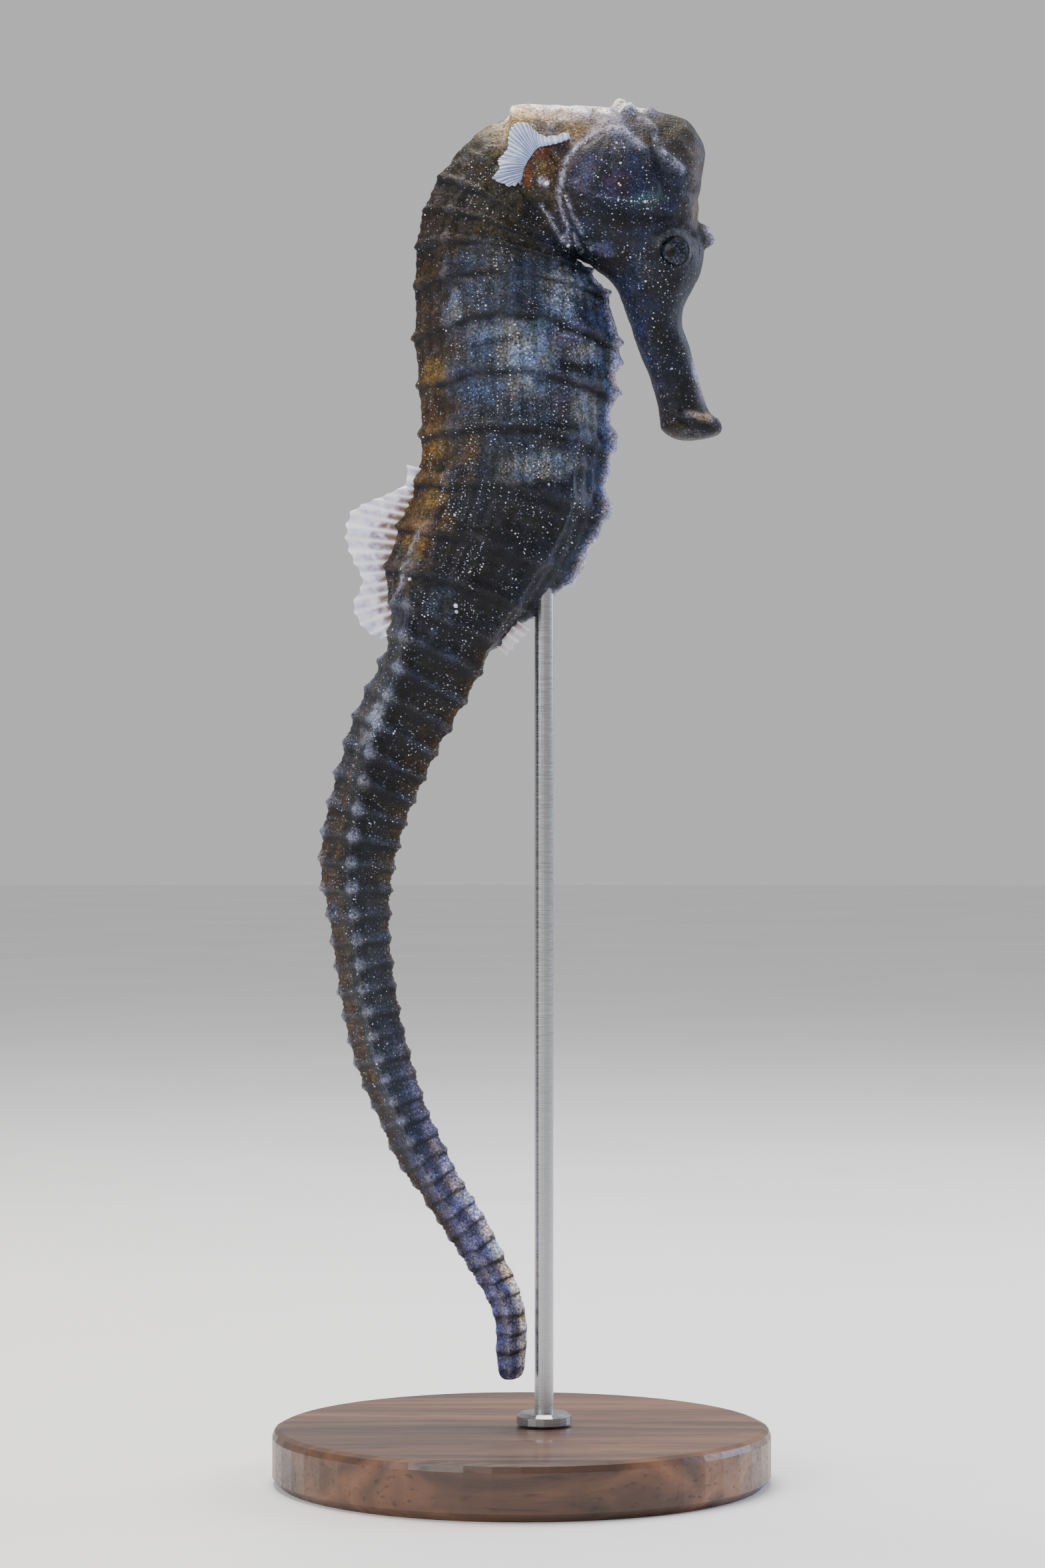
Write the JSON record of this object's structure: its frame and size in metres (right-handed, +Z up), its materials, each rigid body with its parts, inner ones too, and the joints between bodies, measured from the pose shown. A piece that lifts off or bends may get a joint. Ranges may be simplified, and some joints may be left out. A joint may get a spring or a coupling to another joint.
{
  "type": "seahorse display model",
  "caption": "Still life-size seahorse model with a ringed body, straight snout and hanging tail, held upright by a thin rod on a round base.",
  "frame": {"origin": "centre of the underside of the round base, on the floor", "axes": "+Z up along the standing body, +X the way the snout and belly face, +Y the animal's left side"},
  "size_m": [0.058, 0.058, 0.1608],
  "materials": {
    "skin_head": "satin painted cast, dark violet with pale dots",
    "skin_neck": "satin painted cast, olive brown",
    "skin_trunk": "satin painted cast, blue grey with pale dots",
    "skin_tail": "satin painted cast, dark brown",
    "skin_tail_tip": "satin painted cast, pale lilac",
    "fin_membrane": "thin pale membrane with fine rays",
    "eye": "polished dark eye",
    "stand_wood": "satin dark hardwood",
    "stand_steel": "fine brushed steel"
  },
  "bodies": {
    "root": {"head": "skin_head", "snout": "skin_head", "mouth": "skin_head", "coronet": "skin_head", "nape": "skin_neck", "neck": "skin_neck", "trunk_upper": "skin_trunk", "trunk_middle": "skin_trunk", "trunk_lower": "skin_trunk", "tail_1": "skin_tail", "tail_2": "skin_tail", "tail_3": "skin_tail", "tail_4": "skin_tail", "tail_5": "skin_tail_tip", "tail_6": "skin_tail_tip", "dorsal_fin": "fin_membrane", "anal_fin": "fin_membrane", "pectoral_fin_right": "fin_membrane", "pectoral_fin_left": "fin_membrane", "eye_right": "eye", "eye_left": "eye", "stand_base": "stand_wood", "stand_rod": "stand_steel"}
  },
  "joints": []
}
